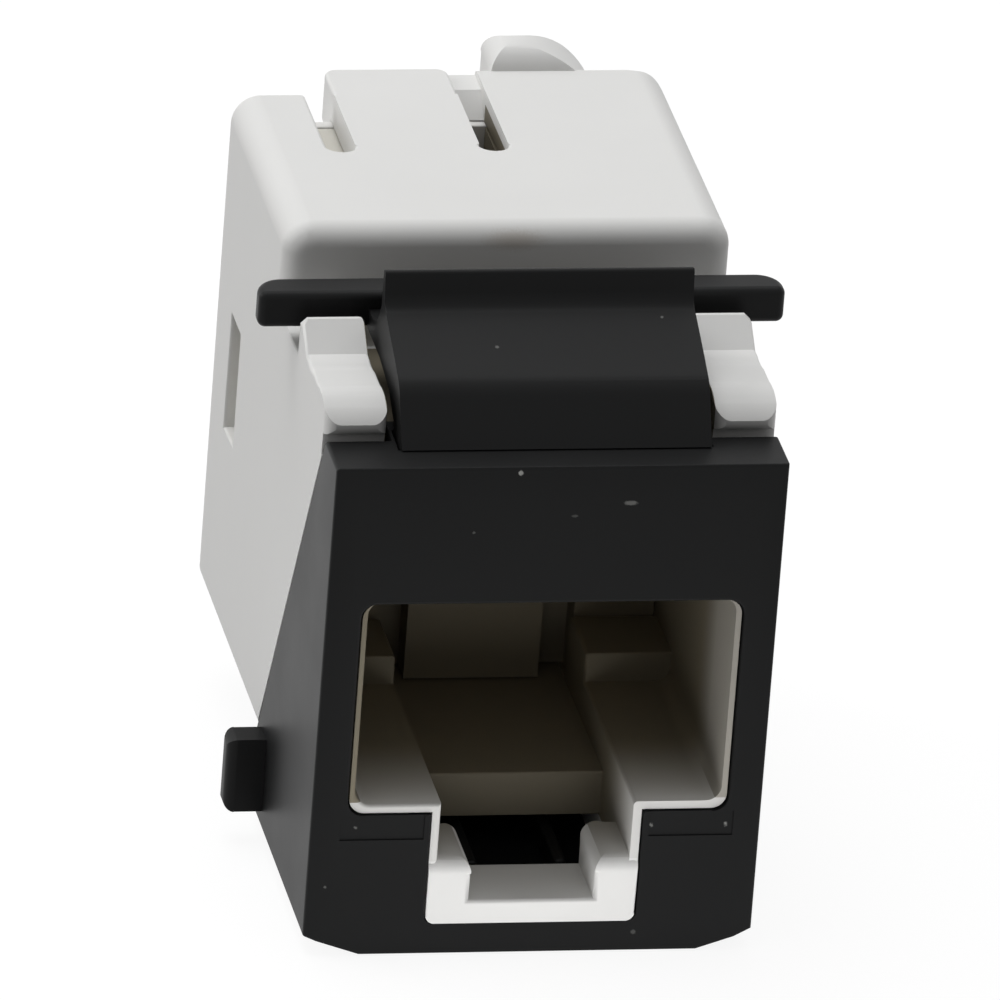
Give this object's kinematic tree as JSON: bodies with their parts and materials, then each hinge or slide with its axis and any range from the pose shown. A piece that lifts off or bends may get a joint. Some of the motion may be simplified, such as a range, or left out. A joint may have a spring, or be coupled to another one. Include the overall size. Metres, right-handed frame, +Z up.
{
  "type": "keystone jack",
  "caption": "Snap-in modular network jack with a black front frame and release latch, a white housing and a rear cap with a cable entry.",
  "frame": {"origin": "front face of the nose, at the middle of its lower edge, where it meets the lower edge of the panel opening", "axes": "+Y goes back into the jack along the plug's way, +Z is up towards the latch, +X is to the right seen from the plug side"},
  "size_m": [0.017, 0.0249, 0.0211],
  "materials": {
    "black_plastic": "fine satin moulded",
    "white_plastic": "fine satin moulded",
    "cover_plastic": "fine satin moulded",
    "insert_plastic": "natural moulded",
    "board": "solder mask",
    "gold_contact": "gold plated",
    "tinned_contact": "tin plated"
  },
  "bodies": {
    "jack_body": {"front_frame": "black_plastic", "jack_housing": "white_plastic", "rear_cover": "cover_plastic", "contact_carrier": "insert_plastic", "terminal_block": "insert_plastic", "circuit_board": "board", "idc_contact_1": "tinned_contact", "idc_contact_2": "tinned_contact", "idc_contact_3": "tinned_contact", "idc_contact_4": "tinned_contact", "idc_contact_5": "tinned_contact", "idc_contact_6": "tinned_contact", "idc_contact_7": "tinned_contact", "idc_contact_8": "tinned_contact"},
    "latch": {"release_latch": "black_plastic"},
    "contact_wire_1": {"contact_wire_1": "gold_contact"},
    "contact_wire_2": {"contact_wire_2": "gold_contact"},
    "contact_wire_3": {"contact_wire_3": "gold_contact"},
    "contact_wire_4": {"contact_wire_4": "gold_contact"},
    "contact_wire_5": {"contact_wire_5": "gold_contact"},
    "contact_wire_6": {"contact_wire_6": "gold_contact"},
    "contact_wire_7": {"contact_wire_7": "gold_contact"},
    "contact_wire_8": {"contact_wire_8": "gold_contact"}
  },
  "joints": [
    {"name": "latch_bend", "type": "hinge", "parent": "jack_body", "child": "latch", "pos_m": [0, 0.0023, 0.0168], "axis": [1, 0, 0], "range_deg": [-5, 0], "stiffness_Nm_per_rad": 0.25},
    {"name": "contact_wire_1_flex", "type": "hinge", "parent": "jack_body", "child": "contact_wire_1", "pos_m": [-0.00357, 0.0145, 0.0127], "axis": [1, 0, 0], "range_deg": [-9, 0], "stiffness_Nm_per_rad": 0.03},
    {"name": "contact_wire_2_flex", "type": "hinge", "parent": "jack_body", "child": "contact_wire_2", "pos_m": [-0.00255, 0.0145, 0.0137], "axis": [1, 0, 0], "range_deg": [-9, 0], "stiffness_Nm_per_rad": 0.03},
    {"name": "contact_wire_3_flex", "type": "hinge", "parent": "jack_body", "child": "contact_wire_3", "pos_m": [-0.00153, 0.0145, 0.0127], "axis": [1, 0, 0], "range_deg": [-9, 0], "stiffness_Nm_per_rad": 0.03},
    {"name": "contact_wire_4_flex", "type": "hinge", "parent": "jack_body", "child": "contact_wire_4", "pos_m": [-0.00051, 0.0145, 0.0137], "axis": [1, 0, 0], "range_deg": [-9, 0], "stiffness_Nm_per_rad": 0.03},
    {"name": "contact_wire_5_flex", "type": "hinge", "parent": "jack_body", "child": "contact_wire_5", "pos_m": [0.00051, 0.0145, 0.0127], "axis": [1, 0, 0], "range_deg": [-9, 0], "stiffness_Nm_per_rad": 0.03},
    {"name": "contact_wire_6_flex", "type": "hinge", "parent": "jack_body", "child": "contact_wire_6", "pos_m": [0.00153, 0.0145, 0.0137], "axis": [1, 0, 0], "range_deg": [-9, 0], "stiffness_Nm_per_rad": 0.03},
    {"name": "contact_wire_7_flex", "type": "hinge", "parent": "jack_body", "child": "contact_wire_7", "pos_m": [0.00255, 0.0145, 0.0127], "axis": [1, 0, 0], "range_deg": [-9, 0], "stiffness_Nm_per_rad": 0.03},
    {"name": "contact_wire_8_flex", "type": "hinge", "parent": "jack_body", "child": "contact_wire_8", "pos_m": [0.00357, 0.0145, 0.0137], "axis": [1, 0, 0], "range_deg": [-9, 0], "stiffness_Nm_per_rad": 0.03}
  ]
}
